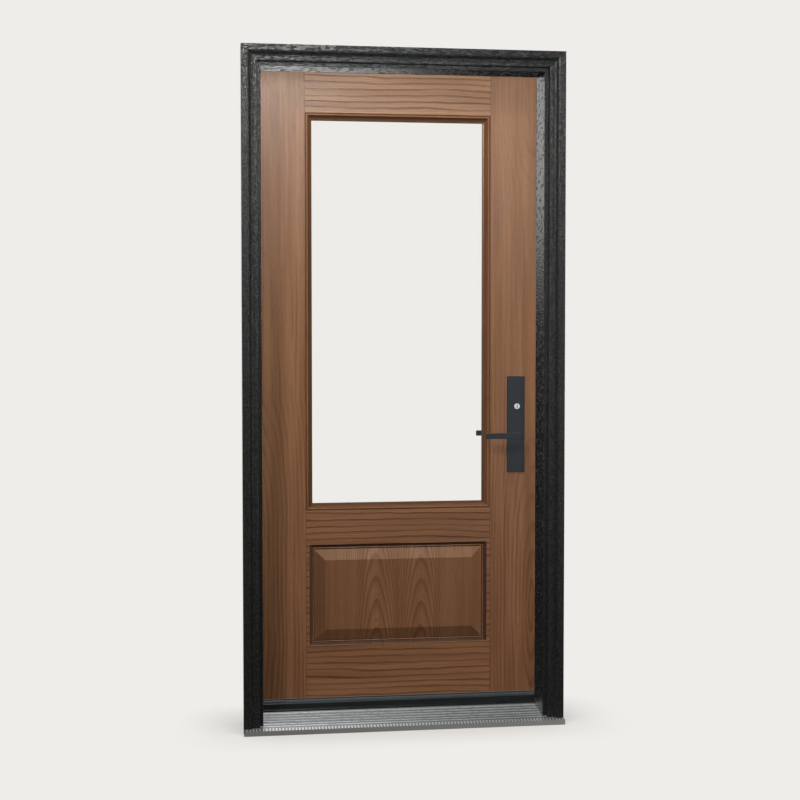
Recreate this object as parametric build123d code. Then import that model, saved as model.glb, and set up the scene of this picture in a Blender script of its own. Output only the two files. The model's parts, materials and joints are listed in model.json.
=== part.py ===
from build123d import *
import math
import os

# An inward-opening fibreglass entrance door, seen from outside along +Y.
# +X is to the right, +Y leads into the building and +Z is up. The origin is on
# the underside of the sill, at mid width, in the plane of the frame's outside edge.

# Door leaf
leaf_width = 904.6
leaf_height = 1981.0
leaf_thickness = 44.5
leaf_gap = 5.0
lock_edge_bevel = 3.0
skin_thickness = 2.0
hinge_stile_width = 45.0
lock_stile_width = 112.0
core_rail_height = 60.0

# Frame
frame_depth = 166.7
jamb_thickness = 19.0
stop_projection = 15.0
seal_space = 12.0

# Casing round the outside of the frame
casing_width = 49.0
casing_thickness = 31.8
casing_inner_thickness = 20.0
casing_setback = 12.0
casing_flat = 17.3
casing_quirk = 0.6
casing_ogee_bow = 1.1
casing_bead_width = 16.0
casing_bead_rise = 1.2
casing_edge_width = 1.5
casing_arris = 1.0
frame_arris = 1.2

# Sill and threshold
nose_projection = 21.0
nose_height = 15.0
apron_slope = 4.0
deck_slope = 7.1
deck_metal = 2.5
rib_count = 5
rib_pitch = 21.6
first_rib = 12.0
rib_width = 4.0
rib_height = 1.4
riser_lead = 6.0
riser_height = 24.5
riser_foot_height = 7.0
riser_foot_depth = 3.0
cap_height = 9.0
cap_inset = 2.0
sweep_height = 6.3
sweep_clearance = 0.5
sweep_carrier_height = 4.0
sweep_carrier_inset = 0.5
sweep_end_gap = 1.0
sweep_base_thickness = 1.0
sweep_inset = 3.0
sweep_fin_thickness = 2.0

# How the leaf's face is divided
stile_face = 155.3
top_rail_face = 132.5
middle_rail_face = 108.0
bottom_rail_face = 166.0

# Glazed light
light_frame_width = 21.5
light_frame_arris = 0.6
light_frame_groove = 2.6
light_frame_groove_width = 3.2
light_frame_bead = 9.0
light_frame_bead_rise = 2.1
light_frame_hollow = 1.4
light_frame_lip = 1.2
glass_unit_thickness = 25.4
pane_thickness = 3.2
glass_edge_cover = 14.0
spacer_width = 9.0
spacer_inset = 3.0

# Raised panel
panel_height = 322.0
panel_margin = 11.0
panel_edge_drop = 0.3
panel_cove_width = 8.5
panel_cove_hollow = 1.8
panel_cove_step = 2.0
panel_bead_width = 4.4
panel_sticking = 16.0
panel_groove_depth = 10.5
panel_step_width = 0.6
panel_bevel_width = 34.0
panel_bevel_depth = 9.5
panel_field_depth = 1.0
panel_backing = 3.0

# Hinges
hinge_height = 101.6
hinge_leaf_thickness = 2.4
hinge_leaf_width = 38.0
hinge_corner_radius = 15.9
hinge_barrel_radius = 6.5
hinge_barrel_clearance = 1.0
hinge_pin_radius = 3.5
hinge_tip_height = 3.0
hinge_tip_inset = 1.0
hinge_end_distance = 200.0
knuckle_count = 5
knuckle_gap = 0.4
pin_clearance = 0.05

# Handle furniture
backset = 72.3
lever_rise = 831.0
cylinder_rise = 92.0
cylinder_offset = 3.5
plate_rise = 34.0
plate_width = 57.0
plate_height = 309.0
plate_thickness = 7.0
plate_edge_chamfer = 0.8
cylinder_radius = 9.2
cylinder_proud = 1.5
cylinder_chamfer = 0.6
plug_radius = 6.4
plug_groove = 0.5
keyway_width = 2.8
keyway_height = 11.0
keyway_depth = 8.0
lever_length = 108.0
lever_heel = 7.5
lever_heel_height = 19.4
lever_tip_height = 16.8
lever_thickness = 12.0
lever_chamfer = 0.8
lever_standoff = 62.0
lever_neck_radius = 7.5
spindle_size = 8.0
spindle_socket = 15.0
spindle_end_gap = 0.5
fit_clearance = 0.1
lock_bore_radius = 13.0
thumbturn_width = 8.0
thumbturn_height = 26.0
thumbturn_projection = 16.0
thumbturn_rounding = 3.5

# Lock edge and strikes
faceplate_width = 24.0
faceplate_height = 240.0
faceplate_thickness = 3.0
bolt_width = 14.0
bolt_height = 28.0
bolt_length = 40.0
strike_width = 32.0
strike_height = 70.0
strike_thickness = 2.0
strike_pocket = 11.0
bolt_side_clearance = 1.0
bolt_end_clearance = 2.0

# Weather seals
kerf_width = 3.0
kerf_depth = 9.0
kerf_offset = 4.5
seal_fin_thickness = 2.4
seal_fin_depth = 8.0
seal_setback = 1.0
seal_bulb_width = 11.0
seal_clearance = 0.4
seal_rounding = 4.0

# Places worked out from the sizes above
leaf_half = leaf_width / 2
leaf_back = frame_depth
leaf_front = leaf_back - leaf_thickness
leaf_middle = (leaf_front + leaf_back) / 2
core_front = leaf_front + skin_thickness
core_thickness = leaf_thickness - 2 * skin_thickness
stop_back = leaf_front - seal_space
sill_front = -(casing_thickness + nose_projection)
apron_grade = math.tan(math.radians(apron_slope))
deck_grade = math.tan(math.radians(deck_slope))
deck_back = leaf_front - riser_lead
deck_rise = nose_height - sill_front * apron_grade
deck_end = deck_rise + deck_back * deck_grade
riser_top = deck_end + riser_height
cap_top = riser_top + cap_height
leaf_underside = cap_top + sweep_height
leaf_top = leaf_underside + leaf_height
rabbet_half = leaf_half + leaf_gap
stop_half = rabbet_half - stop_projection
frame_half = rabbet_half + jamb_thickness
head_rabbet = leaf_top + leaf_gap
head_stop = head_rabbet - stop_projection
frame_top = head_rabbet + jamb_thickness
casing_half = stop_half + casing_setback + casing_width
casing_top = head_stop + casing_setback + casing_width
light_half_width = leaf_half - stile_face
panel_half_width = light_half_width - panel_margin
panel_bottom = leaf_underside + bottom_rail_face
panel_top = panel_bottom + panel_height
light_bottom = panel_top + middle_rail_face
light_top = leaf_top - top_rail_face
light_height = light_top - light_bottom
light_middle = (light_top + light_bottom) / 2
glass_front = leaf_middle - glass_unit_thickness / 2
glass_depth = glass_front - leaf_front
glass_half = light_half_width - light_frame_width + glass_edge_cover
glass_height = light_height - 2 * light_frame_width + 2 * glass_edge_cover
panel_middle = (panel_top + panel_bottom) / 2
panel_reach = panel_sticking + panel_bevel_width
hinge_axis_x = -(leaf_half + leaf_gap / 2)
hinge_axis_y = frame_depth + hinge_barrel_radius + hinge_barrel_clearance
hinge_heights = (
    leaf_underside + hinge_end_distance,
    leaf_underside + leaf_height / 2,
    leaf_top - hinge_end_distance,
)
handle_x = leaf_half - backset
lever_height = leaf_underside + lever_rise
cylinder_x = handle_x + cylinder_offset
cylinder_height = lever_height + cylinder_rise
plate_middle = lever_height + plate_rise
bevel_angle = math.degrees(math.atan2(lock_edge_bevel, leaf_thickness))


def block(x_low, x_high, y_low, y_high, z_low, z_high):
    """A rectangular solid between two opposite corners."""
    middle = ((x_low + x_high) / 2, (y_low + y_high) / 2, (z_low + z_high) / 2)
    return Pos(*middle) * Box(x_high - x_low, y_high - y_low, z_high - z_low)


def upright(outline, z_low, z_high):
    """A plan outline, in X and Y, carried up from one height to another."""
    return Pos(0, 0, z_low) * extrude(make_face(Polyline(*outline, close=True)), z_high - z_low)


def across(outline, half_width):
    """A side outline, in Y and Z, carried across the width."""
    face = Plane.YZ * make_face(Polyline(*outline, close=True))
    return extrude(face, half_width, both=True)


def bore(x, z, radius, y_low, y_high):
    """A round bar along Y."""
    return Pos(x, (y_low + y_high) / 2, z) * Rot(90, 0, 0) * Cylinder(radius, y_high - y_low)


def inside_out(shape):
    """The same piece on the indoor face of the leaf."""
    return mirror(shape, Plane((0, leaf_middle, 0), z_dir=(0, 1, 0)))


def bowed(start, end, bow):
    """An arc between two points of a profile, raised at its middle, or hollowed by a bow below 0."""
    share = bow / math.dist(start, end)
    middle = (
        (start[0] + end[0]) / 2 - (end[1] - start[1]) * share,
        (start[1] + end[1]) / 2 + (end[0] - start[0]) * share,
    )
    return ThreePointArc(start, middle, end)


def mitred_run(section, length, reach, mitred_start=True, mitred_end=True):
    """One length of moulding along +X with its outer edge on the X axis.

    The section gives how far in from that edge (towards +Z) and how proud
    of the face (towards -Y) each point of the moulding lies.
    """
    bar = extrude(Plane((0, 0, 0), x_dir=(0, 0, 1), z_dir=(1, 0, 0)) * section, length)
    start = reach if mitred_start else 0
    end = reach if mitred_end else 0
    outline = ((0, 0), (length, 0), (length - end, reach), (start, reach))
    prism = extrude(Plane.XZ * make_face(Polyline(*outline, close=True)), frame_depth, both=True)
    return bar & prism


def mitred_ring(section, half_width, height, reach):
    """A moulding run round a rectangle that is centred on the origin."""
    half_height = height / 2
    sides = (
        (-half_width, -half_height, 0, 2 * half_width),
        (half_width, -half_height, -90, height),
        (half_width, half_height, 180, 2 * half_width),
        (-half_width, half_height, 90, height),
    )
    runs = []
    for x, z, turn, length in sides:
        runs.append(Pos(x, 0, z) * Rot(0, turn, 0) * mitred_run(section, length, reach))
    return runs[0].fuse(*runs[1:])


# Sill: a metal deck over a composite core, with a horn under each casing leg
def horn_notches(shape):
    for side in (-1, 1):
        edges = sorted((side * frame_half, side * (casing_half + 1)))
        shape = shape - block(edges[0], edges[1], 0, frame_depth + 1, -1, frame_top)
    return shape


def make_sill():
    under = deck_metal
    deck_outline = (
        (sill_front, 0),
        (sill_front, nose_height),
        (0, deck_rise),
        (deck_back, deck_end),
        (deck_back, deck_end - under),
        (0, deck_rise - under),
        (sill_front + under, nose_height - under),
        (sill_front + under, 0),
    )
    core_outline = (
        (sill_front + under, 0),
        (sill_front + under, nose_height - under),
        (0, deck_rise - under),
        (deck_back, deck_end - under),
        (deck_back, deck_end),
        (frame_depth, deck_end),
        (frame_depth, 0),
    )
    deck = horn_notches(across(deck_outline, casing_half))
    core = horn_notches(across(core_outline, casing_half))
    for index in range(rib_count - 1):
        y_low = first_rib + rib_width / 2 + index * rib_pitch
        y_high = y_low + rib_pitch - rib_width
        z_low = deck_rise + y_low * deck_grade
        z_high = deck_rise + y_high * deck_grade
        groove = (
            (y_low, z_low + 1),
            (y_high, z_high + 1),
            (y_high, z_high - rib_height),
            (y_low, z_low - rib_height),
        )
        deck = deck - across(groove, stop_half)
    return deck, core


def sill_envelope():
    """All the space under the sill's upper surface, for pieces that stand on it."""
    outline = (
        (sill_front - 1, -1),
        (sill_front - 1, nose_height - apron_grade),
        (0, deck_rise),
        (deck_back, deck_end),
        (frame_depth + 1, deck_end),
        (frame_depth + 1, -1),
    )
    return across(outline, casing_half + 1)


def make_threshold():
    """A riser with a small foot on the deck, and the rounded cap that the leaf closes over."""
    foot_front = deck_back - riser_foot_depth
    riser_outline = (
        (foot_front, deck_end - riser_foot_depth * deck_grade),
        (foot_front, deck_end + riser_foot_height - riser_foot_depth),
        (deck_back, deck_end + riser_foot_height),
        (deck_back, riser_top),
        (frame_depth, riser_top),
        (frame_depth, deck_end),
        (deck_back, deck_end),
    )
    riser = across(riser_outline, rabbet_half) - jamb_stops()
    cap_front = deck_back + cap_inset
    cap = block(-rabbet_half, rabbet_half, cap_front, frame_depth - cap_inset, riser_top, cap_top)
    upper = cap.faces().sort_by(Axis.Z)[-1].edges().filter_by(Axis.X)
    cap = fillet(upper, cap_height / 2)
    return riser, cap


def jamb_stops():
    """The space that the two side stops take up between the rabbets."""
    left = block(-rabbet_half - 1, -stop_half, -1, stop_back, -1, head_rabbet)
    return left + mirror(left, Plane.YZ)


# Frame: two rabbeted side jambs under a rabbeted head
def jamb_outline(side):
    kerf_outer = rabbet_half - kerf_offset + kerf_width / 2
    kerf_inner = kerf_outer - kerf_width
    points = (
        (frame_half, 0),
        (frame_half, frame_depth),
        (rabbet_half, frame_depth),
        (rabbet_half, stop_back),
        (kerf_outer, stop_back),
        (kerf_outer, stop_back - kerf_depth),
        (kerf_inner, stop_back - kerf_depth),
        (kerf_inner, stop_back),
        (stop_half, stop_back),
        (stop_half, 0),
    )
    return [(side * x, y) for x, y in points]


def make_jamb(side):
    jamb = upright(jamb_outline(side), 0, head_rabbet)
    upright_edges = jamb.edges().filter_by(Axis.Z)
    stop_edges = upright_edges.filter_by(lambda edge: abs(edge.center().X) < stop_half + 0.1)
    return fillet(stop_edges, frame_arris) - sill_envelope()


def make_head():
    board = block(-frame_half, frame_half, 0, frame_depth, head_rabbet, frame_top)
    stop = block(-stop_half, stop_half, 0, stop_back, head_stop, head_rabbet)
    kerf_top = head_rabbet - kerf_offset + kerf_width / 2
    kerf = block(-stop_half, stop_half, stop_back - kerf_depth, stop_back, kerf_top - kerf_width, kerf_top)
    stop_edges = stop.faces().sort_by(Axis.Z)[0].edges().filter_by(Axis.X)
    return board + fillet(stop_edges, frame_arris) - kerf


def casing_section():
    """The casing's profile from its outer edge in: a flat, an ogee slope and a low bead."""
    slope_start = (casing_flat + casing_quirk / 2, casing_thickness - casing_quirk)
    slope_end = (casing_width - casing_bead_width, casing_inner_thickness)
    slope_turn = ((slope_start[0] + slope_end[0]) / 2, (slope_start[1] + slope_end[1]) / 2)
    bead_end = (casing_width - casing_edge_width, casing_inner_thickness)
    inner_edge = (casing_width, casing_inner_thickness - casing_edge_width)
    outline = (
        Line((0, 0), (0, casing_thickness - casing_arris))
        + Line((0, casing_thickness - casing_arris), (casing_arris, casing_thickness))
        + Line((casing_arris, casing_thickness), (casing_flat, casing_thickness))
        + Line((casing_flat, casing_thickness), slope_start)
        + bowed(slope_start, slope_turn, casing_ogee_bow)
        + bowed(slope_turn, slope_end, -casing_ogee_bow)
        + bowed(slope_end, bead_end, casing_bead_rise)
        + Line(bead_end, inner_edge)
        + Line(inner_edge, (casing_width, 0))
        + Line((casing_width, 0), (0, 0))
    )
    return make_face(outline)


def make_casing():
    section = casing_section()
    leg = mitred_run(section, casing_top, casing_width, mitred_start=False)
    right = Pos(casing_half, 0, 0) * Rot(0, -90, 0) * leg - sill_envelope()
    left = mirror(right, Plane.YZ)
    top = mitred_run(section, 2 * casing_half, casing_width)
    head = Pos(casing_half, 0, casing_top) * Rot(0, 180, 0) * top
    return left, right, head


# Compression seals that stand in kerfs in the frame's stops
def seal_bulb():
    """The seal's bulb: how far from the rabbet, and how far from the stop's shoulder."""
    depth = seal_space - seal_clearance
    bulb = Pos(seal_setback + seal_bulb_width / 2, depth / 2) * Rectangle(seal_bulb_width, depth)
    return fillet(bulb.vertices().group_by(Axis.Y)[-1], seal_rounding)


def seal_fin():
    """The fin behind the bulb, which is pushed into the kerf."""
    return Pos(kerf_offset, -seal_fin_depth / 2) * Rectangle(seal_fin_thickness, seal_fin_depth)


def make_seals():
    leg = extrude(seal_bulb() + seal_fin(), head_rabbet - cap_top)
    hinge_side = Pos(-rabbet_half, stop_back, cap_top) * leg
    strike_side = mirror(hinge_side, Plane.YZ)
    bulb_half = rabbet_half - seal_setback - seal_bulb_width
    middle = Plane((0, stop_back, head_rabbet), x_dir=(0, 0, -1), z_dir=(1, 0, 0))
    head = extrude(middle * seal_bulb(), bulb_half, both=True)
    head = head + extrude(middle * seal_fin(), stop_half, both=True)
    return hinge_side, strike_side, head


# Door leaf
def panel_relief_section():
    """What the raised panel's surround takes out of the face, from its outer edge in.

    A cove falls to a groove that holds a small bead, and then the bevel
    rises to the panel's field.
    """
    floor = -panel_groove_depth
    cove_start = (0, -panel_edge_drop)
    cove_end = (panel_cove_width, floor + panel_cove_step)
    bead_start = (panel_cove_width + 1, floor)
    bead_end = (bead_start[0] + panel_bead_width, floor)
    bevel_start = (panel_sticking, -panel_bevel_depth)
    bevel_end = (panel_reach, -panel_field_depth)
    outline = (
        Line((0, 1), cove_start)
        + bowed(cove_start, cove_end, -panel_cove_hollow)
        + Line(cove_end, bead_start)
        + bowed(bead_start, bead_end, panel_bead_width / 2)
        + Line(bead_end, (panel_sticking - panel_step_width, floor))
        + Line((panel_sticking - panel_step_width, floor), bevel_start)
        + Line(bevel_start, bevel_end)
        + Line(bevel_end, (panel_reach, 1))
        + Line((panel_reach, 1), (0, 1))
    )
    return make_face(outline)


def panel_backing_section():
    """The solid under the panel's surround, which is a little thicker than the skin."""
    floor = -panel_groove_depth - skin_thickness
    points = (
        (0, 0),
        (0, -panel_backing),
        (panel_cove_width / 2, -panel_groove_depth / 2 - panel_cove_hollow - panel_backing),
        (panel_cove_width, floor),
        (panel_sticking, floor),
        (panel_reach, -panel_field_depth - skin_thickness),
        (panel_reach, 0),
    )
    return make_face(Polyline(*points, close=True))


def make_panel():
    """The solid behind the raised panel, and the relief that is pressed into its face."""
    place = Pos(0, leaf_front, panel_middle)
    back_ring = mitred_ring(panel_backing_section(), panel_half_width, panel_height, panel_reach)
    relief_ring = mitred_ring(panel_relief_section(), panel_half_width, panel_height, panel_reach)
    field_width = 2 * (panel_half_width - panel_reach)
    field_height = panel_height - 2 * panel_reach
    field_solid = panel_field_depth + skin_thickness
    field_back = Pos(0, field_solid / 2, 0) * Box(field_width, field_solid, field_height)
    field_cut = Box(field_width, 2 * panel_field_depth, field_height)
    return place * back_ring.fuse(field_back), place * relief_ring.fuse(field_cut)


def make_exterior_skin(panel_back, panel_relief):
    sheet = block(-leaf_half, leaf_half, leaf_front, core_front, leaf_underside, leaf_top)
    light_hole = block(
        -light_half_width, light_half_width, leaf_front - 1, core_front + 1, light_bottom, light_top
    )
    return sheet.cut(light_hole).fuse(panel_back).cut(panel_relief)


def light_frame_section():
    """The glazing moulding's profile: a groove, a bead and a cove down to the glass."""
    groove_start = (light_frame_arris + 0.2, -light_frame_groove)
    groove_end = (light_frame_groove_width, -light_frame_groove)
    bead_end = (light_frame_bead, -light_frame_groove)
    sight = (light_frame_width, light_frame_lip - glass_depth)
    outline = (
        Line((0, -glass_depth), (0, -light_frame_arris))
        + Line((0, -light_frame_arris), groove_start)
        + Line(groove_start, groove_end)
        + bowed(groove_end, bead_end, light_frame_bead_rise)
        + bowed(bead_end, sight, -light_frame_hollow)
        + Line(sight, (light_frame_width, -glass_depth))
        + Line((light_frame_width, -glass_depth), (0, -glass_depth))
    )
    return make_face(outline)


def make_light():
    ring = mitred_ring(light_frame_section(), light_half_width, light_height, light_frame_width)
    frame_outside = Pos(0, leaf_front, light_middle) * ring
    glass_low = light_middle - glass_height / 2
    glass_high = light_middle + glass_height / 2
    pane = block(-glass_half, glass_half, glass_front, glass_front + pane_thickness, glass_low, glass_high)
    spacer_depth = glass_unit_thickness - 2 * pane_thickness
    outer = Box(2 * (glass_half - spacer_inset), spacer_depth, glass_height - 2 * spacer_inset)
    hole = 2 * (spacer_inset + spacer_width)
    inner = Box(2 * glass_half - hole, spacer_depth, glass_height - hole)
    spacer = Pos(0, leaf_middle, light_middle) * (outer - inner)
    return frame_outside, pane, spacer


def lock_bevel():
    """The wedge that is planed off the leaf's lock edge, so that it clears the jamb."""
    outline = (
        (leaf_half, leaf_back),
        (leaf_half - lock_edge_bevel, leaf_front),
        (leaf_half - lock_edge_bevel, leaf_front - 1),
        (leaf_half + 1, leaf_front - 1),
        (leaf_half + 1, leaf_back),
    )
    return upright(outline, leaf_underside - 1, leaf_top + 1)


def make_core(panel_spaces):
    """Two stiles, two rails and the foam that fills the rest of the leaf."""
    core_back = core_front + core_thickness
    hinge_inner = -leaf_half + hinge_stile_width
    lock_inner = leaf_half - lock_stile_width
    rail_top = leaf_underside + core_rail_height
    rail_low = leaf_top - core_rail_height
    hinge_stile = block(-leaf_half, hinge_inner, core_front, core_back, leaf_underside, leaf_top)
    lock_stile = block(lock_inner, leaf_half, core_front, core_back, leaf_underside, leaf_top)
    bottom_rail = block(hinge_inner, lock_inner, core_front, core_back, leaf_underside, rail_top)
    top_rail = block(hinge_inner, lock_inner, core_front, core_back, rail_low, leaf_top)
    foam = block(hinge_inner, lock_inner, core_front, core_back, rail_top, rail_low)
    foam = foam - block(
        -light_half_width, light_half_width, core_front - 1, core_back + 1, light_bottom, light_top
    )
    foam = foam.cut(*panel_spaces)
    return hinge_stile, lock_stile, bottom_rail, top_rail, foam


def make_sweep():
    """A rigid carrier under the leaf, and the soft fins that brush the threshold cap."""
    half_length = leaf_half - lock_edge_bevel - sweep_end_gap
    carrier_low = leaf_underside - sweep_carrier_height
    base_low = carrier_low - sweep_base_thickness
    carrier = block(
        -half_length,
        half_length,
        leaf_front + sweep_carrier_inset,
        leaf_back - sweep_carrier_inset,
        carrier_low,
        leaf_underside,
    )
    front_fin = leaf_front + sweep_inset + sweep_fin_thickness
    back_fin = leaf_back - sweep_inset - sweep_fin_thickness
    base = block(
        -half_length,
        half_length,
        front_fin - sweep_fin_thickness,
        back_fin + sweep_fin_thickness,
        base_low,
        carrier_low,
    )
    fins = []
    for y_middle in (front_fin, leaf_middle, back_fin):
        low = y_middle - sweep_fin_thickness / 2
        high = y_middle + sweep_fin_thickness / 2
        fins.append(block(-half_length, half_length, low, high, cap_top + sweep_clearance, base_low))
    return carrier, base.fuse(*fins)


# Hinges: a leaf let into the jamb and one into the stile, with interleaved knuckles
def knuckle_spans(first):
    """The heights of every second knuckle, measured from the hinge's middle."""
    pitch = hinge_height / knuckle_count
    spans = []
    for index in range(first, knuckle_count, 2):
        low = -hinge_height / 2 + index * pitch + knuckle_gap / 2
        spans.append((low, low + pitch - knuckle_gap))
    return spans


def hinge_plate(x_low, x_high, y_high):
    """A hinge's flat leaf with rounded corners, up to a given depth towards its barrel."""
    low = frame_depth - hinge_leaf_width
    plate = block(x_low, x_high, low, y_high, -hinge_height / 2, hinge_height / 2)
    corners = plate.faces().sort_by(Axis.Y)[0].edges().filter_by(Axis.X)
    return fillet(corners, hinge_corner_radius)


def make_hinge_leaf(x_low, x_high, own, other):
    plate = hinge_plate(x_low, x_high, hinge_axis_y)
    for low, high in other:
        relief = Pos(hinge_axis_x, hinge_axis_y, (low + high) / 2) * Cylinder(
            hinge_barrel_radius + knuckle_gap, high - low + 2 * knuckle_gap
        )
        plate = plate - relief
    for low, high in own:
        plate = plate + Pos(hinge_axis_x, hinge_axis_y, (low + high) / 2) * Cylinder(
            hinge_barrel_radius, high - low
        )
    hole = Pos(hinge_axis_x, hinge_axis_y, 0) * Cylinder(
        hinge_pin_radius + pin_clearance, hinge_height + 2
    )
    return plate - hole


def make_hinge():
    frame_knuckles = knuckle_spans(0)
    leaf_knuckles = knuckle_spans(1)
    frame_leaf = make_hinge_leaf(
        -rabbet_half - hinge_leaf_thickness, -rabbet_half, frame_knuckles, leaf_knuckles
    )
    door_leaf = make_hinge_leaf(
        -leaf_half, -leaf_half + hinge_leaf_thickness, leaf_knuckles, frame_knuckles
    )
    pin = Cylinder(hinge_pin_radius, hinge_height)
    for end in (-1, 1):
        tip = Cylinder(hinge_barrel_radius - hinge_tip_inset, hinge_tip_height)
        rim = tip.faces().sort_by(Axis.Z)[0 if end < 0 else -1].edges()
        tip = fillet(rim, hinge_tip_height / 2)
        pin = pin + Pos(0, 0, end * (hinge_height + hinge_tip_height) / 2) * tip
    return frame_leaf, door_leaf, Pos(hinge_axis_x, hinge_axis_y, 0) * pin


# Handle furniture
def make_plate():
    plate = block(
        handle_x - plate_width / 2,
        handle_x + plate_width / 2,
        leaf_front - plate_thickness,
        leaf_front,
        plate_middle - plate_height / 2,
        plate_middle + plate_height / 2,
    )
    rim = plate.faces().sort_by(Axis.Y)[0].edges()
    plate = chamfer(rim, plate_edge_chamfer)
    low = leaf_front - plate_thickness - 1
    plate = plate - bore(handle_x, lever_height, lever_neck_radius + fit_clearance, low, leaf_front + 1)
    return plate - bore(cylinder_x, cylinder_height, cylinder_radius + fit_clearance, low, leaf_front + 1)


def make_lever():
    """A flat bar that tapers to its tip, on a round neck that turns in the plate."""
    face = leaf_front - lever_standoff
    outline = (
        (handle_x + lever_heel, lever_height - lever_heel_height / 2),
        (handle_x + lever_heel, lever_height + lever_heel_height / 2),
        (handle_x - lever_length, lever_height + lever_tip_height / 2),
        (handle_x - lever_length, lever_height - lever_tip_height / 2),
    )
    front = Plane((0, face, 0), x_dir=(1, 0, 0), z_dir=(0, -1, 0))
    blade = front * make_face(Polyline(*outline, close=True))
    bar = extrude(blade, -lever_thickness)
    bar = chamfer(bar.edges(), lever_chamfer)
    neck = bore(handle_x, lever_height, lever_neck_radius, face + lever_thickness - 1, leaf_front)
    socket_side = spindle_size + 2 * pin_clearance
    socket = Pos(handle_x, leaf_front - spindle_socket / 2, lever_height) * Box(
        socket_side, spindle_socket, socket_side
    )
    return bar + neck - socket


def make_spindle():
    length = leaf_thickness + 2 * (spindle_socket - spindle_end_gap)
    return Pos(handle_x, leaf_middle, lever_height) * Box(spindle_size, length, spindle_size)


def make_cylinder():
    face = leaf_front - plate_thickness - cylinder_proud
    barrel = bore(cylinder_x, cylinder_height, cylinder_radius, face, leaf_back)
    rim = barrel.faces().sort_by(Axis.Y)[0].edges()
    barrel = chamfer(rim, cylinder_chamfer)
    ring = bore(cylinder_x, cylinder_height, plug_radius, face - 1, face + plug_groove)
    plug = bore(cylinder_x, cylinder_height, plug_radius - plug_groove, face - 1, face + plug_groove)
    keyway = block(
        cylinder_x - keyway_width / 2,
        cylinder_x + keyway_width / 2,
        face - 1,
        face + keyway_depth,
        cylinder_height - keyway_height / 2,
        cylinder_height + keyway_height / 2,
    )
    return barrel - (ring - plug) - keyway


def make_thumbturn():
    rose_end = leaf_back + plate_thickness + cylinder_proud
    rose = bore(cylinder_x, cylinder_height, cylinder_radius, leaf_back, rose_end)
    wing = block(
        cylinder_x - thumbturn_width / 2,
        cylinder_x + thumbturn_width / 2,
        rose_end,
        rose_end + thumbturn_projection,
        cylinder_height - thumbturn_height / 2,
        cylinder_height + thumbturn_height / 2,
    )
    wing = fillet(wing.edges().filter_by(Axis.Y), thumbturn_rounding)
    return rose + wing


# Lock edge
def on_lock_edge(shape):
    """Turns a piece that is drawn square so that it lies in the bevelled edge."""
    middle = leaf_half - lock_edge_bevel / 2
    return Pos(middle, leaf_middle, 0) * Rot(0, 0, -bevel_angle) * shape


def make_lock_edge():
    middle = (lever_height + cylinder_height) / 2
    plate = Pos(-faceplate_thickness / 2, 0, middle) * Box(
        faceplate_thickness, faceplate_width, faceplate_height
    )
    latch = Pos(-bolt_length / 2, 0, lever_height) * Box(bolt_length, bolt_width, bolt_height)
    deadbolt = Pos(-bolt_length / 2, 0, cylinder_height) * Box(bolt_length, bolt_width, bolt_height)
    plate = plate - latch - deadbolt
    return on_lock_edge(plate), on_lock_edge(latch), on_lock_edge(deadbolt)


def make_strike(height):
    plate = block(
        rabbet_half,
        rabbet_half + strike_thickness,
        leaf_middle - strike_width / 2,
        leaf_middle + strike_width / 2,
        height - strike_height / 2,
        height + strike_height / 2,
    )
    hole = block(
        rabbet_half - 1,
        rabbet_half + strike_pocket,
        leaf_middle - bolt_width / 2 - bolt_side_clearance,
        leaf_middle + bolt_width / 2 + bolt_side_clearance,
        height - bolt_height / 2 - bolt_end_clearance,
        height + bolt_height / 2 + bolt_end_clearance,
    )
    return plate, hole


# Putting the pieces together
pieces = {}
deck, sill_core = make_sill()
riser, cap = make_threshold()
pieces["sill_deck"] = deck
pieces["sill_core"] = sill_core
pieces["threshold_riser"] = riser
pieces["threshold_cap"] = cap

hinge_jamb = make_jamb(-1)
strike_jamb = make_jamb(1)
frame_leaf, door_leaf, hinge_pin = make_hinge()
frame_leaf_pocket = hinge_plate(-rabbet_half - hinge_leaf_thickness, -rabbet_half, frame_depth + 1)
door_leaf_pocket = hinge_plate(-leaf_half, -leaf_half + hinge_leaf_thickness, frame_depth + 1)
leaf_plate_pockets = []
for name, height in zip(("bottom", "middle", "top"), hinge_heights):
    lift = Pos(0, 0, height)
    pieces[f"{name}_hinge_frame_leaf"] = lift * frame_leaf
    pieces[f"{name}_hinge_door_leaf"] = lift * door_leaf
    pieces[f"{name}_hinge_pin"] = lift * hinge_pin
    hinge_jamb = hinge_jamb - lift * frame_leaf_pocket
    leaf_plate_pockets.append(lift * door_leaf_pocket)
for name, height in (("latch", lever_height), ("deadbolt", cylinder_height)):
    strike, strike_hole = make_strike(height)
    strike_jamb = strike_jamb - strike - strike_hole
    pieces[f"{name}_strike_plate"] = strike - strike_hole
pieces["hinge_jamb"] = hinge_jamb
pieces["strike_jamb"] = strike_jamb
pieces["head_jamb"] = make_head()

casing_left, casing_right, casing_head = make_casing()
pieces["casing_left"] = casing_left
pieces["casing_right"] = casing_right
pieces["casing_head"] = casing_head

hinge_seal, strike_seal, head_seal = make_seals()
pieces["hinge_side_seal"] = hinge_seal
pieces["strike_side_seal"] = strike_seal
pieces["head_seal"] = head_seal

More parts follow.
